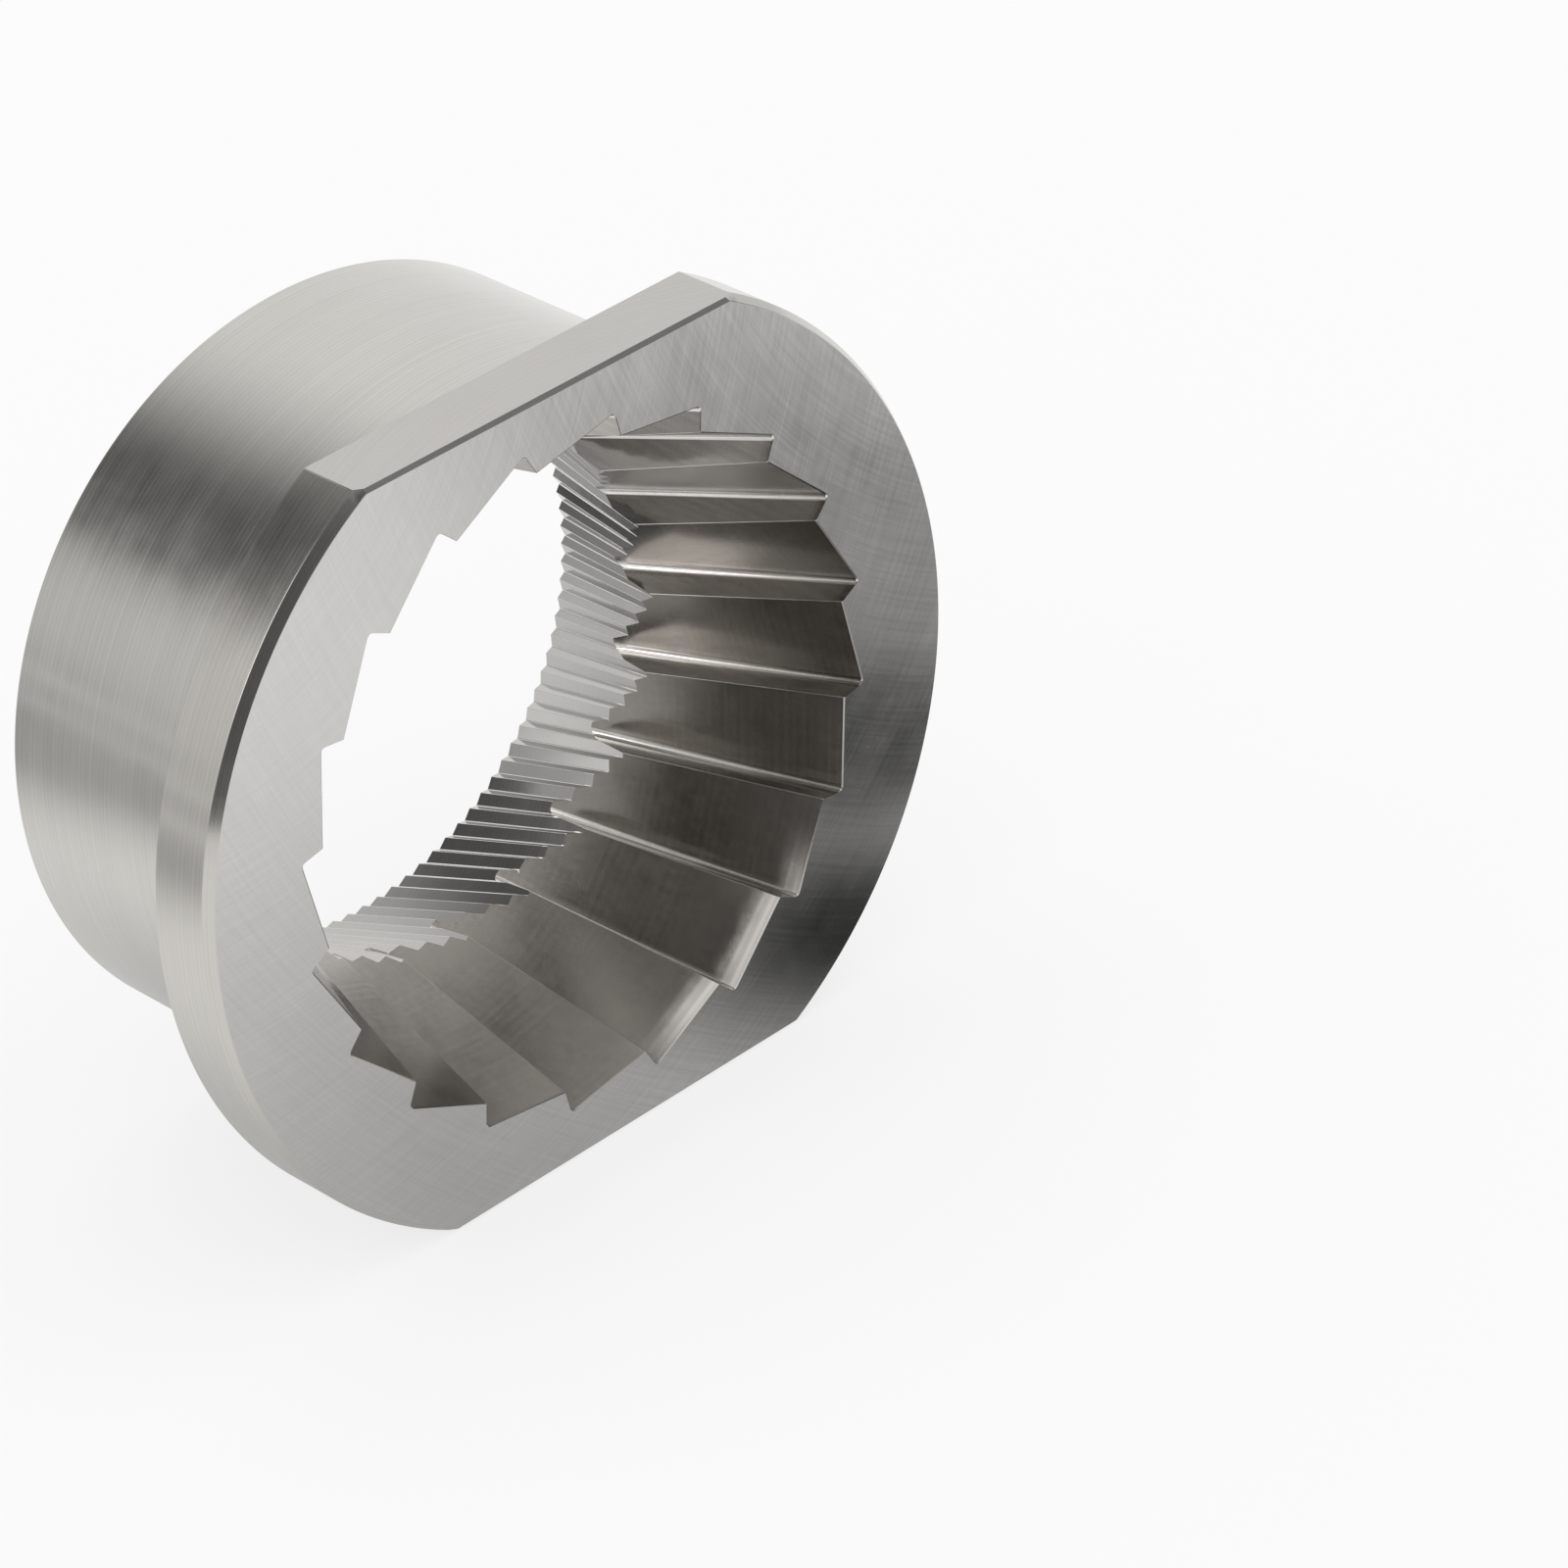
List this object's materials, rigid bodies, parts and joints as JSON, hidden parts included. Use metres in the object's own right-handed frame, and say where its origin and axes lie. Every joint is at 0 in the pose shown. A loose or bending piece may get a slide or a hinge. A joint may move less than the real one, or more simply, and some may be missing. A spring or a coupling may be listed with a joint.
{
  "type": "conical coffee grinder ring burr",
  "caption": "Steel ring burr of a conical coffee grinder: plain turned body, flange with parallel flats, and a toothed bore, coarse at the mouth and fine from waist to exit.",
  "frame": {"origin": "on the bore's axis, in the plane of the flange's back face, where the ring seats on its carrier", "axes": "+Y along the bore from the toothed face towards the back end, +Z square to the flats, +X along them"},
  "size_m": [0.072, 0.0295, 0.0624],
  "materials": {
    "ring_burr": "turned and ground bare steel, satin, with darker ground tooth flanks"
  },
  "bodies": {
    "root": {"ring_burr": "ring_burr"}
  },
  "joints": []
}
